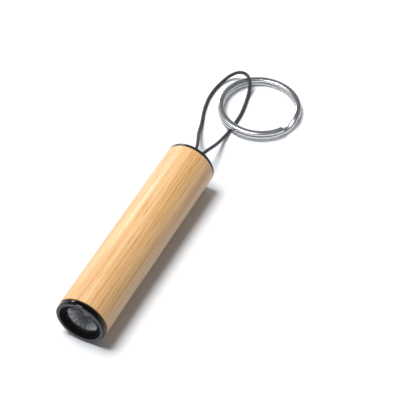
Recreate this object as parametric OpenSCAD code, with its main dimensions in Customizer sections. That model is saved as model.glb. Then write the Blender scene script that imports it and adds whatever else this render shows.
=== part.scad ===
// Keychain flashlight: a bamboo barrel over a metal liner, one AAA cell, a lamp head
// that screws in and out to switch, and a cord loop at the tail that carries a split ring.
// The torch lies along Y with the lamp towards -Y. The origin is at mid length, on the
// surface that it lies on, and +Z is up. All sizes are in millimetres.

/* [Battery] */
// Diameter of the cell
cell_d = 10.5; // [9.5:0.1:14.5]
// Length of the cell over its terminals
cell_len = 44.5; // [30:0.5:65]
// Diameter of the raised plus terminal
nub_d = 3.8; // [3:0.1:5]
// Height of the raised plus terminal
nub_h = 1; // [0.8:0.1:1.5]
// Diameter of the plus cap's flange under the wrapper's front edge
cap_flange_d = 7.2; // [5.5:0.1:8.5]

/* [Barrel] */
// Clearance round the cell inside the liner
cell_gap = 0.15; // [0.1:0.05:0.4]
// Wall of the metal liner along the cell
liner_wall = 1.17; // [1.1:0.01:1.6]
// Wall of the liner at its front socket, where the head screws in
socket_wall = 0.37; // [0.3:0.01:0.6]
// Glue line between parts that are bonded
glue_gap = 0.03; // [0.01:0.01:0.05]
// Wall of the bamboo tube
bamboo_wall = 0.9; // [0.7:0.05:1.5]

/* [Lamp head] */
// Length of the head's ring that stands out of the barrel
head_proud = 1.53; // [1.2:0.01:4]
// How far the ring is set in from the bamboo all round
head_inset = 0.15; // [0:0.05:0.4]
// Edge break at the front of the ring
head_edge = 0.35; // [0.2:0.05:0.6]
// Radial width of the flat face ring
face_w = 0.7; // [0.6:0.05:1.4]
// Radial width of the black slope inside the face ring
slope_w = 1.6; // [1.3:0.05:1.8]
// Depth of the black slope
slope_h = 1.1; // [0.9:0.05:1.5]
// Wall of the head's neck
neck_wall = 0.85; // [0.8:0.05:1.1]
// Depth of the groove for the seal ring
groove_h = 0.45; // [0.35:0.05:0.55]
// Thickness of the gasket ahead of the lens
gasket_t = 0.3; // [0.2:0.05:0.6]
// Thickness of the lens
lens_t = 0.6; // [0.5:0.05:1.2]
// Depth of the reflector's cone
cone_h = 2; // [1.8:0.1:4]
// Radius of the opening at the bottom of the cone
throat_r = 1.5; // [1.4:0.05:2]
// Radius of the clear dome on the light source
dome_r = 1.2; // [0.8:0.05:1.3]
// Side of the square light source
led_w = 2.8; // [2.4:0.1:3.2]
// Thickness of the light source's base
led_t = 0.7; // [0.5:0.05:1]
// Thickness of the circuit board
board_t = 0.8; // [0.6:0.1:1.6]
// Height of the parts on the back of the board
contact_h = 3.3; // [2.8:0.1:5]

/* [Twist switch] */
// Gap at rest between the head and its stops, a quarter turn short of tight
stop_gap = 0.27; // [0.26:0.01:0.5]
// Radial running clearance in the head's thread
thread_gap = 0.05; // [0.03:0.01:0.1]
// Clearance of parts that only drop into place
drop_gap = 0.05; // [0.02:0.01:0.1]
// Clearance between contacts that press on each other
contact_gap = 0.02; // [0.01:0.01:0.05]

/* [Tail] */
// Length of the spring between the cell and its plate
spring_len = 5.3; // [5:0.1:9]
// Outer diameter of the spring
spring_d = 7; // [5:0.1:8]
// Wire of the spring
spring_wire = 0.6; // [0.4:0.05:0.8]
// Thickness of the contact plate
plate_t = 0.6; // [0.4:0.05:1]
// Part of the cap that goes up inside the liner
spigot_h = 0.6; // [0.4:0.1:1.5]
// Rim of the cap that shows behind the bamboo
rim_h = 1; // [0.6:0.1:2]
// Edge break of the rim
rim_edge = 0.25; // [0.1:0.05:0.4]
// Diameter of the hole that the cord comes out of
cord_hole_d = 3; // [2.8:0.1:4]
// Floor of the cap behind the knot
cap_floor = 1.4; // [1.2:0.1:3]
// Radius of the knot inside the cap
knot_r = 1.85; // [1.7:0.05:2.2]

/* [Cord and ring] */
// Diameter of the cord
cord_d = 1; // [0.8:0.05:1.2]
// Distance between the two strands in the hole
strand_pitch = 1.5; // [1.3:0.1:1.6]
// Outer diameter of the split ring
ring_d = 25; // [24:0.1:26]
// Radial width of the ring's wire
ring_wire_w = 1.8; // [1.4:0.05:1.9]
// Height of one coil of the ring
ring_wire_h = 1.05; // [0.8:0.05:1.05]
// Clearance between the ring and the cord that it lies on
ring_gap = 0.15; // [0.05:0.05:0.3]

/* [Hidden] */
$fn = 96;
TINY = 0.01;

// Radii, from the cell outwards
cell_r = cell_d / 2;
bore_r = cell_r + cell_gap;
liner_r = bore_r + liner_wall;
socket_r = liner_r - socket_wall;
bamboo_bore_r = liner_r + glue_gap;
barrel_r = bamboo_bore_r + bamboo_wall;
neck_r = socket_r - thread_gap;
neck_bore_r = neck_r - neck_wall;
head_r = barrel_r - head_inset;
mouth_r = head_r - head_edge - face_w;
lip_r = mouth_r - slope_w;
insert_r = neck_bore_r - drop_gap;

// Room round the knot in its chamber in the cap
knot_room = 0.3;

// Web between the cone and the pocket for the light source
web_t = 0.3;

// How far the contact ring passes the front contact, and how far it stands out of the neck
contact_ring_over = 0.25;
contact_ring_proud = 0.45;

// Stations along the torch, counted from the face of the head towards the tail
bamboo_front = head_proud + stop_gap;
gasket_at = slope_h;
lens_at = gasket_at + gasket_t;
reflector_at = lens_at + lens_t;
throat_at = reflector_at + cone_h;
led_at = throat_at + web_t + contact_gap;
board_at = led_at + led_t;
back_at = board_at + board_t;
nub_at = back_at + contact_h;
cell_at = nub_at + nub_h;
cell_end = nub_at + cell_len;
contact_ring_end = nub_at + contact_ring_over;
shoulder_at = contact_ring_end + stop_gap;
neck_end = contact_ring_end - contact_ring_proud;
plate_at = cell_end + spring_len;
spigot_at = plate_at + plate_t;
plug_at = spigot_at + spigot_h;
chamber_r = knot_r + knot_room / 2;
chamber_h = 2 * knot_r + knot_room;
plug_h = chamber_h + cap_floor - spigot_h - rim_h;
rim_at = plug_at + plug_h;
torch_len = rim_at + rim_h;
torch_axis_z = barrel_r;
tail_y = torch_len / 2;

// Parts on the back of the board, placed at a distance from its middle and an angle round it
contact_ring_wall = 0.68;
contact_ring_bore_r = insert_r - contact_ring_wall;
contact_foot_r = 1.35;
contact_tip_r = 1;
coil_r = 1.45;
coil_h = 1.8;
coil_gap_out = 0.17;
coil_place = contact_ring_bore_r - coil_gap_out - coil_r;
coil_angle = 90;
chip_size = [2.9, 1.6, 1.1];
chip_place = 3;
chip_angle = 210;
capacitor_size = [1.6, 0.8, 0.8];
capacitor_place = 3.2;
capacitor_angles = [300, 345];

// Cell: the end of its wrapper, and the recess in its front that the seal and the plus cap fill
base_t = 0.2;
can_end = cell_end - base_t;
recess_r = cell_r - 0.7;
recess_h = 0.4;

// Seal ring in the neck, halfway between the front of the barrel and the shoulder
seal_w = 1.1;
seal_at = (bamboo_front + neck_end) / 2;
groove_r = neck_r - groove_h;
seal_gap = 0.03;

// Knot, against the floor of its chamber
chamber_end = torch_len - cap_floor;
knot_at = chamber_end - knot_r - contact_gap;
hole_r = cord_hole_d / 2;
hole_edge = 0.4;

// Cord loop: the points of its route, as [x, y behind the tail face, z]
cord_route = [
  [-0.75, 0.5, 7.5], [-0.8, 3, 7.4], [-1.3, 5.5, 7], [-2.1, 8, 6.1], [-3.1, 10.3, 5],
  [-4.1, 12.5, 3.9], [-5.1, 14.6, 2.8], [-6, 16.9, 1.8], [-6.8, 19.3, 1.1], [-7.6, 21.8, 0.7],
  [-8.5, 24.3, 0.5], [-9.3, 26.8, 0.5], [-9.9, 29.4, 0.5], [-10.3, 32, 0.5], [-10.4, 34.6, 0.5],
  [-10.2, 37.2, 0.5], [-9.7, 39.4, 0.7], [-8.8, 41.5, 1.3], [-7.4, 43, 2.1], [-5.7, 43.6, 2.9],
  [-3.9, 43.4, 3.3], [-2.4, 42.5, 3.4], [-1.3, 41.3, 3], [-0.6, 39.8, 1.8], [-0.2, 38, 0.8],
  [0.3, 35.8, 0.5], [0.8, 33.4, 0.5], [1.2, 30.9, 0.5], [1.4, 28.4, 0.5], [1.4, 25.9, 0.5],
  [1.3, 23.4, 0.5], [1.3, 20.9, 0.7], [1.3, 18.6, 1.3], [1.4, 16.3, 2.1], [1.5, 14.1, 3.1],
  [1.6, 11.9, 4.2], [1.6, 9.8, 5.3], [1.5, 7.6, 6.3], [1.2, 5.2, 7], [0.85, 2.8, 7.4],
  [0.75, 0.5, 7.5]
];
cord_sides = 8;

// Split ring: its middle behind the tail face, the way to the strand that it lies on,
// and the way to the place where its wire steps from the lower coil to the upper one
ring_place = [5.5, 34];
ring_rest_angle = 248.7;
ring_step_angle = -10;
coil_gap = 0.05;
ring_r = ring_d / 2;
ring_mid_r = ring_r - ring_wire_w / 2;
ring_half_h = ring_wire_h + coil_gap / 2;
ring_tilt = asin((cord_d + ring_gap) / (ring_mid_r + ring_r));
ring_z = ring_r * sin(ring_tilt) + ring_half_h * cos(ring_tilt);
step_half = 14;
step_room = 4;
wire_edge = 0.3;

// Stands a shape that is drawn along +Z, from the face of the head, along the torch
module along_torch() {
  translate([0, -torch_len / 2, torch_axis_z]) rotate([-90, 0, 0]) children();
}

// A round solid from station a to station b
module disc(r, a, b) {
  translate([0, 0, a]) cylinder(r = r, h = b - a);
}

// A round tube from station a to station b
module tube(outer_r, inner_r, a, b) {
  difference() {
    disc(outer_r, a, b);
    disc(inner_r, a - TINY, b + TINY);
  }
}

// A round solid turned from an outline of [radius, station] points
module turned(outline) {
  rotate_extrude() polygon(outline);
}

// Tube of polygons swept along points: each ring is square to the way the points run
function unit(v) = v / norm(v);
function heading(p, i) = unit(p[min(i + 1, len(p) - 1)] - p[max(i - 1, 0)]);
function across(t) = unit(cross(t, abs(t[2]) > 0.9 ? [1, 0, 0] : [0, 0, 1]));
function ring_at(centre, t, outline) =
  let (a = across(t), b = cross(a, t)) [for (q = outline) centre + q[0] * a + q[1] * b];
function round_outline(r, sides) =
  [for (i = [0 : sides - 1]) r * [cos((i + 0.5) * 360 / sides), sin((i + 0.5) * 360 / sides)]];

module skin(rings) {
  n = len(rings[0]);
  last = len(rings) - 1;
  polyhedron(
    points = [for (r = rings) each r],
    faces = [
      [for (j = [n - 1 : -1 : 0]) j],
      for (i = [0 : last - 1]) for (j = [0 : n - 1])
        [i * n + j, i * n + (j + 1) % n, (i + 1) * n + (j + 1) % n, (i + 1) * n + j],
      [for (j = [0 : n - 1]) last * n + j]
    ]
  );
}

// ---- Barrel ----

module bamboo_barrel() {
  color("burlywood") along_torch() tube(barrel_r, bamboo_bore_r, bamboo_front, rim_at);
}

module liner_tube() {
  color("silver") along_torch() difference() {
    disc(liner_r, bamboo_front, plug_at);
    disc(bore_r, bamboo_front - TINY, plug_at + TINY);
    disc(socket_r, bamboo_front - TINY, shoulder_at);
  }
}

// ---- Tail ----

module tail_cap() {
  rim_r = barrel_r - 0.05;
  color([0.08, 0.08, 0.09]) along_torch() difference() {
    union() {
      disc(bore_r - drop_gap, spigot_at, plug_at + TINY);
      disc(liner_r, plug_at, rim_at);
      turned([
        [0, rim_at - TINY], [liner_r, rim_at - TINY], [liner_r, rim_at], [rim_r, rim_at],
        [rim_r, torch_len - rim_edge], [rim_r - rim_edge, torch_len], [0, torch_len]
      ]);
    }
    disc(chamber_r, spigot_at - TINY, chamber_end);
    disc(hole_r, chamber_end - TINY, torch_len + TINY);
    turned([
      [0, torch_len - hole_edge], [hole_r, torch_len - hole_edge],
      [hole_r + hole_edge + TINY, torch_len + TINY], [0, torch_len + TINY]
    ]);
  }
}

module tail_plate() {
  color("goldenrod") along_torch() disc(bore_r - drop_gap, plate_at, spigot_at);
}

// Compression spring with its end turns lying flat
module tail_spring() {
  turns = 4.5;
  steps = 12;
  coil_radius = (spring_d - spring_wire) / 2;
  low = cell_end + contact_gap + spring_wire / 2;
  high = plate_at - contact_gap - spring_wire / 2;
  climb = function (u) let (v = min(max((u - 0.75) / (turns - 1.5), 0), 1)) low + v * (high - low);
  path = [for (i = [0 : turns * steps]) let (u = i / steps)
    [coil_radius * cos(360 * u), coil_radius * sin(360 * u), climb(u)]];
  color("lightgray") along_torch()
    skin([for (i = [0 : len(path) - 1]) ring_at(path[i], heading(path, i), round_outline(spring_wire / 2, 8))]);
}

// Overhand knot that holds both strands, and the strands in the hole
module cord_knot() {
  color([0.16, 0.16, 0.17]) along_torch() union() {
    translate([0, 0, knot_at]) sphere(r = knot_r);
    for (side = [-1, 1])
      translate([side * strand_pitch / 2, 0, 0]) disc(cord_d / 2, knot_at, torch_len - 0.1);
  }
}

// ---- Cell ----

module battery_can() {
  wrap_edge = 0.3;
  color("steelblue") along_torch() difference() {
    turned([
      [0, cell_at], [cell_r - wrap_edge, cell_at], [cell_r, cell_at + wrap_edge],
      [cell_r, can_end - wrap_edge], [cell_r - wrap_edge, can_end], [0, can_end]
    ]);
    disc(recess_r, cell_at - TINY, cell_at + recess_h);
  }
}

module battery_seal() {
  color("dimgray") along_torch()
    tube(recess_r - contact_gap, cap_flange_d / 2 + contact_gap, cell_at + 0.05, cell_at + recess_h);
}

module battery_plus_cap() {
  nub_edge = 0.2;
  color("lightgray") along_torch() turned([
    [0, nub_at], [nub_d / 2 - nub_edge, nub_at], [nub_d / 2, nub_at + nub_edge], [nub_d / 2, cell_at],
    [cap_flange_d / 2, cell_at], [cap_flange_d / 2, cell_at + recess_h], [0, cell_at + recess_h]
  ]);
}

module battery_base() {
  color("lightgray") along_torch() disc(cell_r - 0.6, can_end, cell_end);
}

// ---- Lamp head ----

module head_bezel() {
  color([0.05, 0.05, 0.06]) along_torch() difference() {
    turned([
      [0, 0], [head_r - head_edge, 0], [head_r - head_edge / 4, head_edge / 3],
      [head_r, head_edge], [head_r, head_proud], [neck_r, head_proud], [neck_r, neck_end], [0, neck_end]
    ]);
    turned([
      [0, -TINY], [mouth_r, -TINY], [mouth_r, 0.1], [lip_r + slope_w / 2, slope_h * 0.45],
      [lip_r, slope_h], [lip_r, slope_h + TINY], [0, slope_h + TINY]
    ]);
    disc(neck_bore_r, slope_h, neck_end + TINY);
    difference() {
      disc(neck_r + TINY, seal_at - seal_w / 2, seal_at + seal_w / 2);
      disc(groove_r, seal_at - seal_w / 2 - TINY, seal_at + seal_w / 2 + TINY);
    }
  }
}

module lens_gasket() {
  color("black") along_torch() tube(insert_r, lip_r + 0.05, gasket_at, lens_at);
}

module lens() {
  color([0.85, 0.92, 0.95, 0.4]) along_torch() disc(insert_r, lens_at, reflector_at);
}

module reflector() {
  mirror_r = lip_r + 0.05;
  pocket_r = led_w * sqrt(2) / 2 + 0.2;
  color("gainsboro") along_torch() difference() {
    disc(insert_r, reflector_at, board_at);
    turned([
      [0, reflector_at - TINY], [mirror_r + TINY, reflector_at - TINY], [throat_r, throat_at],
      [throat_r, throat_at + web_t + TINY], [0, throat_at + web_t + TINY]
    ]);
    disc(pocket_r, throat_at + web_t, board_at + TINY);
  }
}

module led_base() {
  color("ivory") along_torch()
    translate([-led_w / 2, -led_w / 2, led_at]) cube([led_w, led_w, led_t]);
}

module led_dome() {
  color([0.95, 0.95, 0.7, 0.6]) along_torch() intersection() {
    translate([0, 0, led_at]) sphere(r = dome_r);
    disc(dome_r + TINY, led_at - dome_r - TINY, led_at);
  }
}

module circuit_board() {
  color("white") along_torch() disc(insert_r, board_at, back_at);
}

module driver_coil() {
  color("dimgray") along_torch() rotate([0, 0, coil_angle])
    translate([coil_place, 0, 0]) disc(coil_r, back_at, back_at + coil_h);
}

// Places a block on the back of the board, at an angle round it and a distance from its middle
module on_board(angle, place, size) {
  along_torch() rotate([0, 0, angle])
    translate([place - size[1] / 2, -size[0] / 2, back_at]) cube([size[1], size[0], size[2]]);
}

module driver_chip() {
  color([0.1, 0.1, 0.1]) on_board(chip_angle, chip_place, chip_size);
}

module capacitors() {
  color("tan") for (angle = capacitor_angles) on_board(angle, capacitor_place, capacitor_size);
}

module front_contact() {
  color("gold") along_torch() turned([
    [0, back_at], [contact_foot_r, back_at], [contact_foot_r, back_at + 0.5],
    [contact_tip_r, back_at + 1], [contact_tip_r, nub_at - contact_gap], [0, nub_at - contact_gap]
  ]);
}

module contact_ring() {
  color("gold") along_torch() tube(insert_r, contact_ring_bore_r, back_at, contact_ring_end);
}

module head_seal() {
  color("black") along_torch() rotate_extrude()
    translate([(groove_r + socket_r) / 2, seal_at]) circle(r = (socket_r - groove_r) / 2 - seal_gap);
}

// ---- Cord and ring ----

module cord_loop() {
  path = [for (p = cord_route) p + [0, tail_y, 0]];
  color([0.16, 0.16, 0.17])
    skin([for (i = [0 : len(path) - 1]) ring_at(path[i], heading(path, i), round_outline(cord_d / 2, cord_sides))]);
}

// Two flat coils of one wire, with the step from the lower to the upper
module split_ring() {
  first = step_half + step_room;
  last = 720 - first;
  steps = 108;
  h = ring_wire_h / 2;
  w = ring_wire_w / 2;
  rise = (ring_wire_h + coil_gap) / 2;
  outline = [
    [w, -h + wire_edge], [w, h - wire_edge], [w - wire_edge, h], [-w + wire_edge, h],
    [-w, h - wire_edge], [-w, -h + wire_edge], [-w + wire_edge, -h], [w - wire_edge, -h]
  ];
  lift = function (u) let (v = min(max((u - 360 + step_half) / (2 * step_half), 0), 1))
    rise * (2 * v * v * (3 - 2 * v) - 1);
  rings = [for (i = [0 : steps]) let (u = first + (last - first) * i / steps)
    [for (q = outline) [(ring_mid_r + q[0]) * cos(u), (ring_mid_r + q[0]) * sin(u), lift(u) + q[1]]]];
  color("silver")
    translate([ring_place[0], tail_y + ring_place[1], ring_z])
      rotate([0, 0, ring_rest_angle]) rotate([0, -ring_tilt, 0])
        rotate([0, 0, ring_step_angle - ring_rest_angle]) skin(rings);
}

bamboo_barrel();
liner_tube();
tail_cap();
tail_plate();
tail_spring();
cord_knot();
battery_can();
battery_seal();
battery_plus_cap();
battery_base();
head_bezel();
lens_gasket();
lens();
reflector();
led_base();
led_dome();
circuit_board();
driver_coil();
driver_chip();
capacitors();
front_contact();
contact_ring();
head_seal();
cord_loop();
split_ring();
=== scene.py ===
import math

import bpy
from mathutils import Matrix, Vector


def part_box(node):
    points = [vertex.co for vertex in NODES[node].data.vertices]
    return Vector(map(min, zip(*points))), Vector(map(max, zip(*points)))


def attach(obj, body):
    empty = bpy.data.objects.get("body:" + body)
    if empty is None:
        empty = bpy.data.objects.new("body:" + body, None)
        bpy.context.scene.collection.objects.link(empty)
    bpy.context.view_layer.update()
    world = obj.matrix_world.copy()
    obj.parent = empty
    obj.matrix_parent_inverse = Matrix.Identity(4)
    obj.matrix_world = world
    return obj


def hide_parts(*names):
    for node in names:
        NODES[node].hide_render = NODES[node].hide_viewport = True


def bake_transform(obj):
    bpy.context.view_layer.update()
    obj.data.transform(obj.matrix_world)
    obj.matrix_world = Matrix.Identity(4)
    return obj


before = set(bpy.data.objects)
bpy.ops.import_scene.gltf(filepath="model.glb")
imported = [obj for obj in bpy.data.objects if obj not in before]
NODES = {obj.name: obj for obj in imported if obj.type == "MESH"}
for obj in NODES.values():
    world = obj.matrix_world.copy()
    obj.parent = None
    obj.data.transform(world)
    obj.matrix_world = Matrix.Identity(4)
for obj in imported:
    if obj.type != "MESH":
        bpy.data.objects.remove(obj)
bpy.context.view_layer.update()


def span(node):
    """First and last y and outer radius of a round CAD node about the torch's axis, in mm."""
    low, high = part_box(node)
    return round(1000 * low.y, 2), round(1000 * high.y, 2), round(500 * (high.x - low.x), 2)


# Sizes that the CAD parts in model.glb give: in mm where the name ends in MM, and otherwise in
# metres
BAMBOO_FRONT_MM, BAMBOO_BACK_MM, BAMBOO_R_MM = span("bamboo_barrel")
HEAD_FRONT_MM, HEAD_BACK_MM, HEAD_R_MM = span("head_bezel")
PLUG_FRONT_MM, TAIL_MM, TAIL_R_MM = span("tail_cap")
_, LINER_BACK_MM, LINER_R_MM = span("liner_tube")
AXIS_Z = BAMBOO_R_MM / 1000
TAIL_Y = TAIL_MM / 1000
FACE_Y = HEAD_FRONT_MM / 1000

# ---- Camera ----

# Places in metres, angles in degrees, lens and sensor in mm
TARGET = Vector((0.0100, 0.02476, 0.0))
AZIMUTH = 26.85
ELEVATION = 49.0
DISTANCE = 0.528
FOCAL_LENGTH = 158.17
SENSOR_WIDTH = 36.0


def direction(azimuth, elevation):
    """The way from the object to a place at that azimuth and elevation, in degrees."""
    azimuth, elevation = math.radians(azimuth), math.radians(elevation)
    return Vector(
        (
            math.sin(azimuth) * math.cos(elevation),
            -math.cos(azimuth) * math.cos(elevation),
            math.sin(elevation),
        )
    )


camera_data = bpy.data.cameras.new("camera")
camera_data.lens = FOCAL_LENGTH
camera_data.sensor_width = SENSOR_WIDTH
camera_data.clip_start = 0.01
camera = bpy.data.objects.new("camera", camera_data)
bpy.context.scene.collection.objects.link(camera)
camera.location = TARGET + direction(AZIMUTH, ELEVATION) * DISTANCE
camera.rotation_euler = (TARGET - camera.location).to_track_quat("-Z", "Y").to_euler()
bpy.context.scene.camera = camera


# ---- Meshes ----


def new_piece(name, vertices, faces, sharp=30.0):
    """A mesh object with smooth faces and sharp edges where they meet at more than an angle."""
    mesh = bpy.data.meshes.new(name)
    mesh.from_pydata([tuple(v) for v in vertices], [], faces)
    mesh.validate()
    mesh.shade_smooth()
    mesh.set_sharp_from_angle(angle=math.radians(sharp))
    piece = bpy.data.objects.new(name, mesh)
    bpy.context.scene.collection.objects.link(piece)
    return piece


def rounded(outline, steps=5, share=0.45):
    """Points of a closed outline of (a, b, corner radius), with its corners rounded.
    A rounding takes at most a share of each side next to it, so that two never meet."""
    points = []
    count = len(outline)
    for i, (a, b, radius) in enumerate(outline):
        corner = Vector((a, b))
        if radius <= 0:
            points.append(corner)
            continue
        before = Vector(outline[i - 1][:2]) - corner
        after = Vector(outline[(i + 1) % count][:2]) - corner
        half = before.angle(after) / 2
        reach = min(radius / math.tan(half), share * before.length, share * after.length)
        start = corner + before.normalized() * reach
        end = corner + after.normalized() * reach
        for k in range(steps + 1):
            t = k / steps
            points.append(start * (1 - t) ** 2 + corner * 2 * t * (1 - t) + end * t**2)
    return points


def lathe(name, outline, segments=144, bumps=None):
    """A piece turned round the torch's axis from a closed outline in mm, of
    (radius, y, corner radius). bumps(angle, radius, y) may give each point another radius."""
    points = rounded(outline)
    vertices = []
    for s in range(segments):
        angle = 2 * math.pi * s / segments
        for p in points:
            radius = bumps(angle, p.x, p.y) if bumps else p.x
            vertices.append(
                (
                    radius * math.cos(angle) / 1000,
                    p.y / 1000,
                    AXIS_Z + radius * math.sin(angle) / 1000,
                )
            )
    n = len(points)
    faces = []
    for s in range(segments):
        t = (s + 1) % segments
        for i in range(n):
            j = (i + 1) % n
            faces.append((s * n + i, s * n + j, t * n + j, t * n + i))
    return new_piece(name, vertices, faces)


def smooth_route(points, step, cuts=12):
    """Points at an even step along a smooth curve through the given ones, and its length."""
    fine = []
    for i in range(len(points) - 1):
        p0 = points[max(i - 1, 0)]
        p1, p2 = points[i], points[i + 1]
        p3 = points[min(i + 2, len(points) - 1)]
        for k in range(cuts):
            t = k / cuts
            fine.append(
                0.5
                * (
                    2 * p1
                    + (p2 - p0) * t
                    + (2 * p0 - 5 * p1 + 4 * p2 - p3) * t**2
                    + (3 * p1 - p0 - 3 * p2 + p3) * t**3
                )
            )
    fine.append(points[-1])
    length = sum((b - a).length for a, b in zip(fine, fine[1:]))
    count = round(length / step)
    spaced = [fine[0]]
    done, i = 0.0, 0
    for k in range(1, count):
        wanted = length * k / count
        while done + (fine[i + 1] - fine[i]).length < wanted:
            done += (fine[i + 1] - fine[i]).length
            i += 1
        t = (wanted - done) / (fine[i + 1] - fine[i]).length
        spaced.append(fine[i].lerp(fine[i + 1], t))
    spaced.append(fine[-1])
    return spaced, length


def tube(name, route, radius, sides, relief=None):
    """A round tube along a route, with u round it and v along it in its UV map.
    relief(angle, share of the length) may take something off the radius."""
    vertices, faces = [], []
    across = Vector((0, 0, 1))
    for i, centre in enumerate(route):
        ahead = (route[min(i + 1, len(route) - 1)] - route[max(i - 1, 0)]).normalized()
        across = (across - ahead * across.dot(ahead)).normalized()
        up = ahead.cross(across)
        for s in range(sides):
            angle = 2 * math.pi * s / sides
            r = radius - (relief(angle, i / (len(route) - 1)) if relief else 0)
            vertices.append(centre + r * (math.cos(angle) * across + math.sin(angle) * up))
    for i in range(len(route) - 1):
        for s in range(sides):
            t = (s + 1) % sides
            faces.append((i * sides + s, i * sides + t, (i + 1) * sides + t, (i + 1) * sides + s))
    last = (len(route) - 1) * sides
    faces.append(tuple(range(sides - 1, -1, -1)))
    faces.append(tuple(last + s for s in range(sides)))
    piece = new_piece(name, vertices, faces, sharp=60)
    layer = piece.data.uv_layers.new(name="along")
    for polygon in piece.data.polygons[:-2]:
        i, s = divmod(polygon.index, sides)
        corners = ((s, i), (s + 1, i), (s + 1, i + 1), (s, i + 1))
        for loop, (u, v) in zip(polygon.loop_indices, corners):
            layer.data[loop].uv = (u / sides, v / (len(route) - 1))
    return piece


# ---- Cord ----

# In metres: thickness, step between the rings of points, and the braid's waves
CORD_D = 0.001
CORD_STEP = 0.00016
CORD_SIDES = 24
STRANDS = 4
WAVE_LENGTH = 0.0011
BRAID_DEPTH = 0.000035
# Points of the cord's route in mm: x, y behind the tail face, z
ROUTE = (
    (-0.75, -0.1, 7.5), (-0.75, 0.5, 7.5), (-0.8, 3, 7.4), (-1.3, 5.5, 7), (-2.1, 8, 6.1),
    (-3.1, 10.3, 5), (-4.1, 12.5, 3.9), (-5.1, 14.6, 2.8), (-6, 16.9, 1.8), (-6.8, 19.3, 1.1),
    (-7.6, 21.8, 0.7), (-8.5, 24.3, 0.5), (-9.3, 26.8, 0.5), (-9.9, 29.4, 0.5),
    (-10.3, 32, 0.5), (-10.4, 34.6, 0.5), (-10.2, 37.2, 0.5), (-9.7, 39.4, 0.7),
    (-8.8, 41.5, 1.3), (-7.4, 43, 2.1), (-5.7, 43.6, 2.9), (-3.9, 43.4, 3.3),
    (-2.4, 42.5, 3.4), (-1.3, 41.3, 3), (-0.6, 39.8, 1.8), (-0.2, 38, 0.8), (0.3, 35.8, 0.5),
    (0.8, 33.4, 0.5), (1.2, 30.9, 0.5), (1.4, 28.4, 0.5), (1.4, 25.9, 0.5), (1.3, 23.4, 0.5),
    (1.3, 20.9, 0.7), (1.3, 18.6, 1.3), (1.4, 16.3, 2.1), (1.5, 14.1, 3.1), (1.6, 11.9, 4.2),
    (1.6, 9.8, 5.3), (1.5, 7.6, 6.3), (1.2, 5.2, 7), (0.85, 2.8, 7.4), (0.75, 0.5, 7.5),
    (0.75, -0.1, 7.5),
)  # fmt: skip
route, cord_length = smooth_route(
    [Vector((x / 1000, TAIL_Y + y / 1000, z / 1000)) for x, y, z in ROUTE], CORD_STEP
)
BRAID_WAVES = round(cord_length / WAVE_LENGTH)


def braid(angle, along):
    """How deep the braid's surface lies at a place on the cord."""
    u = STRANDS * angle
    v = 2 * math.pi * BRAID_WAVES * along
    return BRAID_DEPTH * (1 - max(math.sin(u + v), math.sin(u - v)))


cord = tube("braided_cord", route, CORD_D / 2, CORD_SIDES, braid)
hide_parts("cord_loop")
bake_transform(cord)

# ---- Turned parts, in mm ----

BORE_R = LINER_R_MM + 0.03
MOUTH_R, LIP_R, NECK_R, NECK_BORE_R = 6.3, 4.7, 6.15, 5.3
MOUTH_EDGE = HEAD_FRONT_MM + 0.1
LENS_SEAT = span("lens_gasket")[0]
# The gap between the flange and the bamboo all but closes as the head is screwed tight
FLANGE_BACK = BAMBOO_FRONT_MM - 0.27
SEAL_GROOVE_R, GROOVE_START, GROOVE_END = 5.7, -27.65, -26.55
# Screw thread: its two ends, how far it takes to run out there, its section, and the places
# along the neck of the rings of points that show it
THREAD_START, THREAD_END, THREAD_FADE = -26.3, -23.8, 0.4
THREAD_PITCH, THREAD_DEPTH, THREAD_FLANK, THREAD_FLOOR = 1.0, 0.28, 3.2, 0.25
THREAD_PLACES = [-26.4 + 0.1 * i for i in range(27)]


def thread(angle, radius, y):
    """Screw thread on the head's neck: one groove that runs out at both ends."""
    if radius < NECK_R - 0.15 or not THREAD_START <= y <= THREAD_END:
        return radius
    phase = (y / THREAD_PITCH - angle / (2 * math.pi)) % 1.0
    crest = min(1.0, max(0.0, THREAD_FLANK * abs(phase - 0.5) - THREAD_FLOOR))
    run_out = min(1.0, (y - THREAD_START) / THREAD_FADE, (THREAD_END - y) / THREAD_FADE)
    return radius - THREAD_DEPTH * (1 - crest) * max(run_out, 0.0)


barrel = lathe(
    "bamboo_tube",
    [
        (BORE_R, BAMBOO_FRONT_MM, 0.05), (BAMBOO_R_MM, BAMBOO_FRONT_MM, 0.15),
        (BAMBOO_R_MM, BAMBOO_BACK_MM, 0.15), (BORE_R, BAMBOO_BACK_MM, 0.05),
    ],
)  # fmt: skip
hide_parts("bamboo_barrel")
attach(barrel, "barrel")

head = lathe(
    "lamp_head",
    [
        # Face ring, the rounded edge of the flange and its side
        (MOUTH_R, HEAD_FRONT_MM, 0.06), (7.0, HEAD_FRONT_MM, 0.08), (7.27, -32.33, 0.1),
        (HEAD_R_MM, -32.1, 0.1), (HEAD_R_MM, FLANGE_BACK, 0.1),
        # Neck, with the groove for its seal
        (NECK_R, FLANGE_BACK, 0.05), (NECK_R, GROOVE_START, 0.05),
        (SEAL_GROOVE_R, GROOVE_START, 0.05), (SEAL_GROOVE_R, GROOVE_END, 0.05),
        (NECK_R, GROOVE_END, 0.05),
    ]
    + [(NECK_R, y, 0) for y in THREAD_PLACES]
    + [
        (NECK_R, HEAD_BACK_MM, 0.15), (NECK_BORE_R, HEAD_BACK_MM, 0.05),
        # Seat of the lens, and the slope from its lip out to the mouth
        (NECK_BORE_R, LENS_SEAT, 0), (LIP_R, LENS_SEAT, 0.05), (5.5, -31.965, 0.3),
        (MOUTH_R, MOUTH_EDGE, 0.05),
    ],
    bumps=thread,
)  # fmt: skip
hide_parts("head_bezel")
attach(head, "head")

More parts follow.
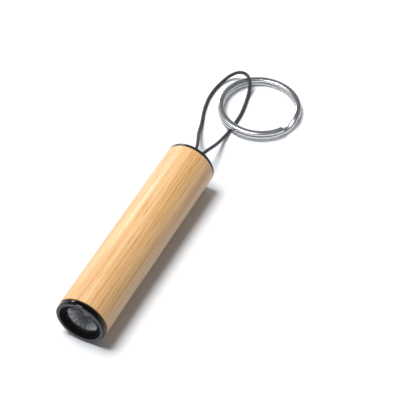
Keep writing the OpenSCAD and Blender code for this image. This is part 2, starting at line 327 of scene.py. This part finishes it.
SPIGOT_R, CHAMBER_R, CHAMBER_BACK, CORD_HOLE_R, HOLE_EDGE = 5.35, 2.0, 31.06, 1.5, 0.4
tail = lathe(
    "tail_plug",
    [
        (CHAMBER_R, PLUG_FRONT_MM, 0.05), (SPIGOT_R, PLUG_FRONT_MM, 0.1),
        (SPIGOT_R, LINER_BACK_MM, 0), (LINER_R_MM, LINER_BACK_MM, 0.1),
        (LINER_R_MM, BAMBOO_BACK_MM, 0), (TAIL_R_MM, BAMBOO_BACK_MM, 0.05),
        (TAIL_R_MM, TAIL_MM, 0.25), (CORD_HOLE_R + HOLE_EDGE, TAIL_MM, 0.1),
        (CORD_HOLE_R, TAIL_MM - HOLE_EDGE, 0.1), (CORD_HOLE_R, CHAMBER_BACK, 0.05),
        (CHAMBER_R, CHAMBER_BACK, 0),
    ],
)  # fmt: skip
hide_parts("tail_cap")
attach(tail, "barrel")

# ---- Spring and split ring ----

# Spring, in metres: the middle of its wire at each end, and its sizes
SPRING_LOW, SPRING_HIGH = 0.02148, 0.02614
SPRING_R, SPRING_WIRE_R, SPRING_SIDES = 0.0032, 0.0003, 12
SPRING_TURNS, CLOSED_TURNS, SPRING_STEPS = 4.5, 0.75, 40


def spring_point(i):
    """A point of the spring's wire, which lies flat for its closed turns at each end."""
    turn = i / SPRING_STEPS
    climb = min(max((turn - CLOSED_TURNS) / (SPRING_TURNS - 2 * CLOSED_TURNS), 0), 1)
    angle = 2 * math.pi * turn
    y = SPRING_LOW + climb * (SPRING_HIGH - SPRING_LOW)
    return Vector((SPRING_R * math.cos(angle), y, AXIS_Z - SPRING_R * math.sin(angle)))


spring_route = [spring_point(i) for i in range(int(SPRING_TURNS * SPRING_STEPS) + 1)]
spring = tube("coil_spring", spring_route, SPRING_WIRE_R, SPRING_SIDES)
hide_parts("tail_spring")
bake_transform(spring)

# Split ring, in mm and degrees
COIL_R, WIRE_W, WIRE_H, COIL_GAP = 11.6, 1.8, 1.05, 0.05
RING_CENTRE = Vector((5.5, TAIL_MM + 34, 0))
# A strand of cord lies under the wire on one side and holds it up, so the ring is tilted
STRAND_LIFT, TILT_SIDE = 1.15, 248.7
RING_TILT = math.asin(STRAND_LIFT / (COIL_R + COIL_R + WIRE_W / 2))
# The step from one coil to the other: its direction, half its length and the room at its ends
STEP_SIDE, STEP_HALF, STEP_ROOM = -10, 14.0, 4.0
COIL_STEPS, WIRE_SIDES, CROWN = 684, 40, 0.68
# The cut ends of the wire: degrees from the end, and the share of the full section there
WIRE_END = ((0.0, 0.8), (0.3, 0.93), (0.8, 1.0))


def crowned(half_w, half_h, count):
    """Evenly spaced points of a closed outline between a rectangle and an oval.
    The smaller CROWN is, the nearer it comes to the rectangle."""
    fine = []
    for j in range(720):
        a = math.radians(j / 2)
        c, s = math.cos(a), math.sin(a)
        x = math.copysign(abs(c) ** CROWN, c) * half_w
        fine.append(Vector((x, math.copysign(abs(s) ** CROWN, s) * half_h)))
    lengths = [0.0]
    for a, b in zip(fine, fine[1:] + fine[:1]):
        lengths.append(lengths[-1] + (b - a).length)
    spaced, j = [], 0
    for k in range(count):
        while lengths[j + 1] <= lengths[-1] * k / count:
            j += 1
        spaced.append(fine[j])
    return spaced


def split_ring_mesh():
    """Two flat coils of one wire with rounded edges, and the step between them."""
    half_w, half_h = WIRE_W / 2, WIRE_H / 2
    outline = crowned(half_w, half_h, WIRE_SIDES)
    place = (
        Matrix.Rotation(math.radians(TILT_SIDE), 3, "Z")
        @ Matrix.Rotation(-RING_TILT, 3, "Y")
        @ Matrix.Rotation(math.radians(STEP_SIDE - TILT_SIDE), 3, "Z")
    )
    height = (COIL_R + half_w) * math.sin(RING_TILT) + (WIRE_H + COIL_GAP / 2) * math.cos(RING_TILT)
    centre = RING_CENTRE + Vector((0, 0, height))
    first = STEP_HALF + STEP_ROOM
    last = 720 - first
    sections = [(first + turn, size) for turn, size in WIRE_END]
    sections += [(first + (last - first) * i / COIL_STEPS, 1.0) for i in range(1, COIL_STEPS)]
    sections += [(last - turn, size) for turn, size in reversed(WIRE_END)]
    vertices, faces = [], []
    n = len(outline)
    for degrees, size in sections:
        v = min(max((degrees - 360 + STEP_HALF) / (2 * STEP_HALF), 0), 1)
        lift = (WIRE_H + COIL_GAP) / 2 * (2 * v * v * (3 - 2 * v) - 1)
        a = math.radians(degrees)
        for q in outline:
            radius = COIL_R + q.x * size
            point = Vector((radius * math.cos(a), radius * math.sin(a), lift + q.y * size))
            vertices.append((centre + place @ point) / 1000)
    for k in range(len(sections) - 1):
        for j in range(n):
            m = (j + 1) % n
            faces.append((k * n + j, (k + 1) * n + j, (k + 1) * n + m, k * n + m))
    faces.append(tuple(range(n)))
    faces.append(tuple((len(sections) - 1) * n + j for j in range(n - 1, -1, -1)))
    return new_piece("nickel_split_ring", vertices, faces, sharp=40)


ring = split_ring_mesh()
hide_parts("split_ring")
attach(ring, "ring")

# ---- Materials ----


class Look:
    """A node material: one Principled shader and small helpers to feed it."""

    def __init__(self, name, **values):
        self.material = bpy.data.materials.new(name)
        self.material.use_nodes = True
        self.tree = self.material.node_tree
        self.shader = self.tree.nodes["Principled BSDF"]
        for key, value in values.items():
            self.shader.inputs[key.replace("_", " ")].default_value = value
        self.place = self.node("ShaderNodeTexCoord").outputs["Object"]

    def node(self, kind, *inputs, **settings):
        """A new node, with its inputs linked or set in order and its settings made."""
        made = self.tree.nodes.new(kind)
        for key, value in settings.items():
            setattr(made, key, value)
        for i, value in enumerate(inputs):
            if isinstance(value, bpy.types.NodeSocket):
                self.tree.links.new(value, made.inputs[i])
            elif value is not None:
                made.inputs[i].default_value = value
        return made

    def math(self, operation, *inputs):
        """Result of one sum on values."""
        return self.node("ShaderNodeMath", *inputs, operation=operation).outputs[0]

    def noise(self, scale, stretch=(1, 1, 1), detail=3.0, offset=(0, 0, 0), where=None):
        """Noise of one value, with the coordinates stretched by a factor for each axis."""
        mapped = self.node("ShaderNodeMapping", where or self.place, offset, None, stretch)
        made = self.node("ShaderNodeTexNoise")
        self.tree.links.new(mapped.outputs[0], made.inputs["Vector"])
        made.inputs["Scale"].default_value = scale
        made.inputs["Detail"].default_value = detail
        return made.outputs["Fac"]

    def ramp(self, value, *stops):
        """Value turned into colour by stops of (position, colour)."""
        made = self.node("ShaderNodeValToRGB", value)
        elements = made.color_ramp.elements
        while len(elements) < len(stops):
            elements.new(0.5)
        for element, (position, colour) in zip(elements, stops):
            element.position = position
            element.color = (*colour, 1)
        return made.outputs["Color"]

    def scale_to(self, value, low, high, new_low, new_high):
        """Value between low and high brought to between two new ones, and held there."""
        made = self.node("ShaderNodeMapRange", value, low, high, new_low, new_high)
        return made.outputs[0]

    def mix(self, factor, first, second, blend="MIX"):
        """Two colours mixed by a factor. Sockets 6, 7 and 2 are the node's ones for colours."""
        made = self.node("ShaderNodeMix", data_type="RGBA", blend_type=blend)
        for socket, value in ((0, factor), (6, first), (7, second)):
            if isinstance(value, bpy.types.NodeSocket):
                self.tree.links.new(value, made.inputs[socket])
            else:
                made.inputs[socket].default_value = (
                    value if isinstance(value, (int, float)) else (*value, 1)
                )
        return made.outputs[2]

    def feed(self, name, value):
        """Link a value to one of the shader's inputs."""
        self.tree.links.new(value, self.shader.inputs[name])

    def bump(self, value, distance, strength):
        """Relief from a value, with its depth in metres."""
        made = self.node("ShaderNodeBump")
        made.inputs["Strength"].default_value = strength
        made.inputs["Distance"].default_value = distance
        self.tree.links.new(value, made.inputs["Height"])
        self.feed("Normal", made.outputs[0])

    def round_axis(self):
        """Radius from the torch's axis in metres, angle round it, and y."""
        split = self.node("ShaderNodeSeparateXYZ", self.place).outputs
        z = self.math("SUBTRACT", split["Z"], AXIS_Z)
        squares = self.math("ADD", self.math("POWER", split["X"], 2), self.math("POWER", z, 2))
        return self.math("SQRT", squares), self.math("ARCTAN2", z, split["X"]), split["Y"]


def plain(name, colour, roughness, metallic=0.0, change=0.12):
    """A look with fine mottling in colour and roughness and a little bump."""
    look = Look(name, Metallic=metallic)
    scale = 4000
    fine = look.noise(scale, detail=4)
    broad = look.noise(scale / 12, detail=2)
    dark = tuple(c * (1 - change) for c in colour)
    light = tuple(min(1, c * (1 + change)) for c in colour)
    look.feed("Base Color", look.ramp(look.mix(0.5, fine, broad), (0.3, dark), (0.7, light)))
    look.feed("Roughness", look.scale_to(broad, 0.3, 0.7, roughness * 0.85, roughness * 1.15))
    look.bump(fine, 0.00001, 0.4)
    return look.material


def bamboo_look():
    """Varnished bamboo: soft bands, fine long fibres and thin darker marks along the barrel."""
    look = Look("bamboo", Coat_Weight=0.4, Coat_Roughness=0.3)
    # Where in the noise the bands fall much as they do in the photograph
    offset = (8.1, 3.3, 0.6)
    broad = look.noise(1, (300, 7, 300), 2, offset)
    middle = look.noise(1, (1000, 14, 1000), 3, offset)
    fine = look.noise(1, (3400, 34, 3400), 3)
    dashes = look.noise(1, (4600, 90, 4600), 2, (3, 1, 2))
    base = look.ramp(
        middle,
        (0.30, (0.82, 0.462, 0.184)),
        (0.50, (0.89, 0.553, 0.253)),
        (0.70, (0.92, 0.62, 0.315)),
    )
    bands = look.ramp(broad, (0.35, (0.94, 0.90, 0.84)), (0.62, (1.0, 1.0, 1.0)))
    colour = look.mix(1.0, base, bands, "MULTIPLY")
    lines = look.ramp(fine, (0.38, (0.72, 0.56, 0.38)), (0.50, (1.0, 1.0, 1.0)))
    colour = look.mix(0.75, colour, lines, "MULTIPLY")
    marks = look.ramp(dashes, (0.30, (0.60, 0.39, 0.22)), (0.37, (1.0, 1.0, 1.0)))
    colour = look.mix(0.75, colour, marks, "MULTIPLY")
    look.feed("Base Color", colour)
    look.feed("Roughness", look.scale_to(fine, 0.3, 0.7, 0.48, 0.34))
    look.bump(fine, 0.00003, 0.3)
    return look.material


def head_look():
    """Gloss black moulding. Its face ring is satin, and it is painted a lighter dark grey as
    painted sheen. The slope in its mouth is dull.
    """
    look = Look("head_plastic", Specular_IOR_Level=0.2)
    radius, _, y = look.round_axis()
    mouth = MOUTH_R / 1000
    at_face = look.scale_to(y, FACE_Y + 0.00012, FACE_Y + 0.00005, 0, 1)
    outside = look.scale_to(radius, mouth - 0.00008, mouth, 0, 1)
    face = look.math("MULTIPLY", at_face, outside)
    grain = look.noise(9000, detail=4)
    # Painted sheen: the face ring is the same black moulding, with lighter grey painted where light
    # glances off it. Its satin roughness is real.
    look.feed("Base Color", look.mix(face, (0.003, 0.003, 0.0035), (0.13, 0.13, 0.135)))
    inside = look.scale_to(radius, mouth - 0.00002, mouth - 0.00012, 0, 0.85)
    rough = look.math("ADD", look.scale_to(grain, 0.3, 0.7, 0.09, 0.14), inside)
    look.feed("Roughness", look.math("ADD", rough, look.math("MULTIPLY", face, 0.30)))
    look.bump(grain, 0.000004, 0.3)
    return look.material


def reflector_look():
    """Satin metallised cone, with fine streaks from the throat outwards, and painted shade that
    darkens it towards the throat.
    """
    look = Look("reflector_metal", Metallic=1.0)
    radius, angle, _ = look.round_axis()
    around = look.node("ShaderNodeCombineXYZ", look.math("COSINE", angle), look.math("SINE", angle))
    streaks = look.noise(9, detail=5, where=around.outputs[0])
    bright = look.ramp(streaks, (0.35, (0.15, 0.15, 0.155)), (0.65, (0.42, 0.42, 0.425)))
    throat, rim = 0.0012, 0.0046
    outwards = look.scale_to(radius, throat, rim, 0, 1)
    # Painted shade: the colour darkens from the rim down into the deep throat of the cone.
    depth = look.ramp(outwards, (0.0, (0.05,) * 3), (0.5, (0.22,) * 3), (0.98, (1.0,) * 3))
    look.feed("Base Color", look.mix(1.0, bright, depth, "MULTIPLY"))
    look.feed("Roughness", look.scale_to(streaks, 0.3, 0.7, 0.36, 0.26))
    look.bump(streaks, 0.00003, 0.4)
    return look.material


def cord_look():
    """Black polyester braid, with painted shade that makes it darker between its strands."""
    look = Look("cord", Roughness=0.7, Sheen_Weight=0.2, Sheen_Roughness=0.4)
    along = look.node("ShaderNodeUVMap", uv_map="along").outputs[0]
    split = look.node("ShaderNodeSeparateXYZ", along).outputs
    u = look.math("MULTIPLY", split["X"], 2 * math.pi * STRANDS)
    v = look.math("MULTIPLY", split["Y"], 2 * math.pi * BRAID_WAVES)
    one = look.math("SINE", look.math("ADD", u, v))
    other = look.math("SINE", look.math("SUBTRACT", u, v))
    painted_strand_shade = look.math("MAXIMUM", one, other)
    fuzz = look.noise(16000, detail=3)
    # Painted shade: darker in the grooves between the strands, lighter on their tops. The fuzz is
    # the fibres' own tone.
    shade = look.math("MULTIPLY_ADD", painted_strand_shade, 0.3, fuzz)
    colour = look.ramp(shade, (0.25, (0.012, 0.012, 0.014)), (0.95, (0.05, 0.05, 0.054)))
    look.feed("Base Color", colour)
    look.bump(fuzz, 0.00003, 0.5)
    return look.material


def knot_look():
    """The same black cord drawn into a knot, as slanting ridges, with painted shade darker in the
    grooves between them.
    """
    look = Look("cord_knot", Roughness=0.75)
    wave = look.node("ShaderNodeTexWave", look.place, 900.0, 2.0, 2.0, bands_direction="DIAGONAL")
    ridges = wave.outputs["Fac"]
    # Painted shade: the colour is darker in the grooves between the ridges.
    colour = look.ramp(ridges, (0.2, (0.016, 0.016, 0.018)), (0.9, (0.06, 0.06, 0.064)))
    look.feed("Base Color", colour)
    look.bump(ridges, 0.00008, 0.6)
    return look.material


def turned_metal(name, colour, roughness):
    """Metal with fine turning marks, one behind another along the torch."""
    look = Look(name, Metallic=1.0)
    marks = look.noise(1, (150, 22000, 150), 3)
    dark = tuple(c * 0.82 for c in colour)
    look.feed("Base Color", look.ramp(marks, (0.3, dark), (0.7, colour)))
    look.feed("Roughness", look.scale_to(marks, 0.3, 0.7, roughness * 1.3, roughness * 0.8))
    look.bump(marks, 0.000006, 0.5)
    return look.material


def ring_look():
    """Bright nickel, with drawing marks round the coils."""
    look = Look("ring_steel", Metallic=1.0)
    split = look.node("ShaderNodeSeparateXYZ", look.place).outputs
    x = look.math("SUBTRACT", split["X"], RING_CENTRE.x / 1000)
    y = look.math("SUBTRACT", split["Y"], RING_CENTRE.y / 1000)
    squares = look.math("ADD", look.math("POWER", x, 2), look.math("POWER", y, 2))
    radius = look.math("SQRT", squares)
    lines = look.node("ShaderNodeCombineXYZ", radius, None, split["Z"]).outputs[0]
    marks = look.noise(5200, detail=3, where=lines)
    broad = look.noise(230, detail=2)
    look.feed("Base Color", look.ramp(marks, (0.3, (0.62, 0.62, 0.63)), (0.7, (0.78, 0.78, 0.79))))
    look.feed("Roughness", look.scale_to(broad, 0.3, 0.7, 0.22, 0.28))
    look.bump(marks, 0.000001, 0.1)
    return look.material


def can_look():
    """Plain printed film: a wide blue band and a narrow pale one at the plus end."""
    look = Look("cell_wrapper", Roughness=0.22, Metallic=0.3, Coat_Weight=0.4, Coat_Roughness=0.1)
    _, _, y = look.round_axis()
    band_start = -0.0121
    band = look.scale_to(y, band_start - 0.0001, band_start + 0.0001, 0, 1)
    grain = look.noise(5000, detail=3)
    blue = look.ramp(grain, (0.3, (0.07, 0.17, 0.32)), (0.7, (0.09, 0.21, 0.38)))
    pale = look.ramp(grain, (0.3, (0.62, 0.60, 0.52)), (0.7, (0.70, 0.67, 0.58)))
    look.feed("Base Color", look.mix(band, pale, blue))
    look.bump(grain, 0.000005, 0.3)
    return look.material


def board_look():
    """White solder mask, with faint lines of the copper under it."""
    look = Look("board", Roughness=0.35, Coat_Weight=0.2, Coat_Roughness=0.1)
    cells = look.node("ShaderNodeTexVoronoi", look.place, None, 900.0, feature="DISTANCE_TO_EDGE")
    edge = cells.outputs["Distance"]
    grain = look.noise(7000, detail=3)
    mask = look.ramp(grain, (0.3, (0.74, 0.75, 0.73)), (0.7, (0.84, 0.85, 0.83)))
    lines = look.ramp(edge, (0.03, (0.80, 0.84, 0.78)), (0.06, (1.0, 1.0, 1.0)))
    look.feed("Base Color", look.mix(1.0, mask, lines, "MULTIPLY"))
    look.bump(edge, 0.00001, 0.3)
    return look.material


def led_base_look():
    """White ceramic with a yellow phosphor patch in the middle."""
    look = Look("led_ceramic", Roughness=0.5)
    radius, _, _ = look.round_axis()
    patch_r = 0.00095
    patch = look.scale_to(radius, patch_r + 0.00003, patch_r - 0.00003, 0, 1)
    grain = look.noise(12000, detail=3)
    ceramic = look.ramp(grain, (0.3, (0.76, 0.75, 0.70)), (0.7, (0.84, 0.83, 0.78)))
    phosphor = look.ramp(grain, (0.3, (0.72, 0.60, 0.12)), (0.7, (0.84, 0.72, 0.20)))
    look.feed("Base Color", look.mix(patch, ceramic, phosphor))
    look.bump(grain, 0.000008, 0.4)
    return look.material


def clear_look(name, colour, alpha, roughness, shine):
    """Clear material, seen by its shine and a share of its colour, with light smudges."""
    look = Look(name, Alpha=alpha, IOR=1.5, Specular_IOR_Level=shine)
    smudge = look.noise(500, detail=3)
    light = tuple(min(1, c * 1.04) for c in colour)
    look.feed("Base Color", look.ramp(smudge, (0.3, colour), (0.7, light)))
    look.feed("Roughness", look.scale_to(smudge, 0.35, 0.65, roughness, roughness * 2))
    return look.material


looks = {
    "bamboo_barrel": bamboo_look(),
    "liner_tube": turned_metal("liner_metal", (0.72, 0.73, 0.75), 0.25),
    "tail_cap": plain("tail_plastic", (0.016, 0.016, 0.018), 0.32),
    "tail_plate": plain("tail_brass", (0.78, 0.58, 0.27), 0.22, metallic=1.0),
    "tail_spring": plain("spring_wire", (0.62, 0.62, 0.63), 0.25, metallic=1.0),
    "cord_knot": knot_look(),
    "battery_can": can_look(),
    "battery_seal": plain("seal_plastic", (0.10, 0.10, 0.10), 0.55),
    "battery_plus_cap": turned_metal("cell_steel", (0.72, 0.72, 0.73), 0.16),
    "battery_base": plain("cell_base_steel", (0.70, 0.70, 0.71), 0.18, metallic=1.0),
    "head_bezel": head_look(),
    "lens_gasket": plain("gasket_rubber", (0.018, 0.018, 0.018), 0.7),
    "lens": clear_look("clear_lens", (0.90, 0.93, 0.95), 0.06, 0.03, 0.25),
    "reflector": reflector_look(),
    "led_base": led_base_look(),
    "led_dome": clear_look("led_dome", (0.94, 0.92, 0.82), 0.35, 0.05, 0.9),
    "circuit_board": board_look(),
    "driver_coil": plain("ferrite", (0.10, 0.10, 0.11), 0.5, change=0.25),
    "driver_chip": plain("chip_plastic", (0.03, 0.03, 0.03), 0.4, change=0.25),
    "capacitors": plain("capacitor_ceramic", (0.52, 0.38, 0.24), 0.35),
    "front_contact": turned_metal("contact_brass", (0.80, 0.62, 0.30), 0.2),
    "contact_ring": turned_metal("contact_ring_brass", (0.78, 0.60, 0.29), 0.2),
    "head_seal": plain("seal_rubber", (0.018, 0.018, 0.018), 0.55),
    "split_ring": ring_look(),
}
new_meshes = {
    "bamboo_barrel": barrel,
    "head_bezel": head,
    "tail_cap": tail,
    "tail_spring": spring,
    "split_ring": ring,
}
for name, material in looks.items():
    piece = new_meshes.get(name, NODES[name])
    piece.data.materials.clear()
    piece.data.materials.append(material)
cord.data.materials.append(cord_look())

# ---- Floor and light ----

# Seen directly or in a reflection the floor is white; the light that it throws back is less
floor_look = Look("floor", Roughness=0.9, Specular_IOR_Level=0.2)
grain = floor_look.noise(700, detail=3)
white = floor_look.ramp(grain, (0.3, (0.945, 0.957, 0.972)), (0.7, (0.955, 0.967, 0.982)))
ray = floor_look.node("ShaderNodeLightPath").outputs
seen = floor_look.math("MAXIMUM", ray["Is Camera Ray"], ray["Is Glossy Ray"])
seen = floor_look.math("MAXIMUM", seen, ray["Is Transmission Ray"])
floor_look.feed("Base Color", floor_look.mix(seen, (0.46, 0.48, 0.52), white))
FLOOR_HALF = 1.6
FLOOR_DROP = 0.00002
corners = [(x * FLOOR_HALF, y * FLOOR_HALF, 0) for x, y in ((-1, -1), (1, -1), (1, 1), (-1, 1))]
floor_mesh = bpy.data.meshes.new("floor")
floor_mesh.from_pydata(corners, [], [(0, 1, 2, 3)])
floor_mesh.materials.append(floor_look.material)
floor = bpy.data.objects.new("floor", floor_mesh)
floor.location.z = -FLOOR_DROP
bpy.context.scene.collection.objects.link(floor)


def area_light(name, azimuth, elevation, distance, size, power):
    """A round lamp aimed at the camera's target: angles in degrees, distance and size in
    metres, power in watts."""
    data = bpy.data.lights.new(name, "AREA")
    data.shape = "DISK"
    data.size = size
    data.energy = power
    lamp = bpy.data.objects.new(name, data)
    lamp.location = TARGET + direction(azimuth, elevation) * distance
    lamp.rotation_euler = (TARGET - lamp.location).to_track_quat("-Z", "Y").to_euler()
    bpy.context.scene.collection.objects.link(lamp)


area_light("key", 277, 73, 2.0, 0.95, 41.0)
area_light("rim", 231, 24, 0.9, 0.2, 1.3)

# A studio that is pale at the horizon, and darker overhead and ahead of the torch: the ramp
# is read at how far a direction points up, plus half of how far it points ahead (-Y)
world = bpy.data.worlds.new("studio")
world.use_nodes = True
tree = world.node_tree
up = tree.nodes.new("ShaderNodeSeparateXYZ")
shade = tree.nodes.new("ShaderNodeValToRGB")
tree.links.new(tree.nodes.new("ShaderNodeTexCoord").outputs["Generated"], up.inputs[0])
front = tree.nodes.new("ShaderNodeMath")
front.operation = "MINIMUM"
front.inputs[1].default_value = 0
tree.links.new(up.outputs["Y"], front.inputs[0])
level = tree.nodes.new("ShaderNodeMath")
level.operation = "MULTIPLY_ADD"
level.inputs[1].default_value = -0.5
tree.links.new(front.outputs[0], level.inputs[0])
tree.links.new(up.outputs["Z"], level.inputs[2])
tree.links.new(level.outputs[0], shade.inputs[0])
tree.links.new(shade.outputs[0], tree.nodes["Background"].inputs["Color"])
shade.color_ramp.elements.new(0.5)
STUDIO_STOPS = ((0.10, 0.85), (0.45, 0.20), (1.0, 0.12))
STUDIO_TINT = (0.91, 0.96, 1.03)
for element, (position, shine) in zip(shade.color_ramp.elements, STUDIO_STOPS):
    element.position = position
    element.color = (*(shine * c for c in STUDIO_TINT), 1)
bpy.context.scene.world = world
bpy.context.scene.view_settings.view_transform = "Standard"
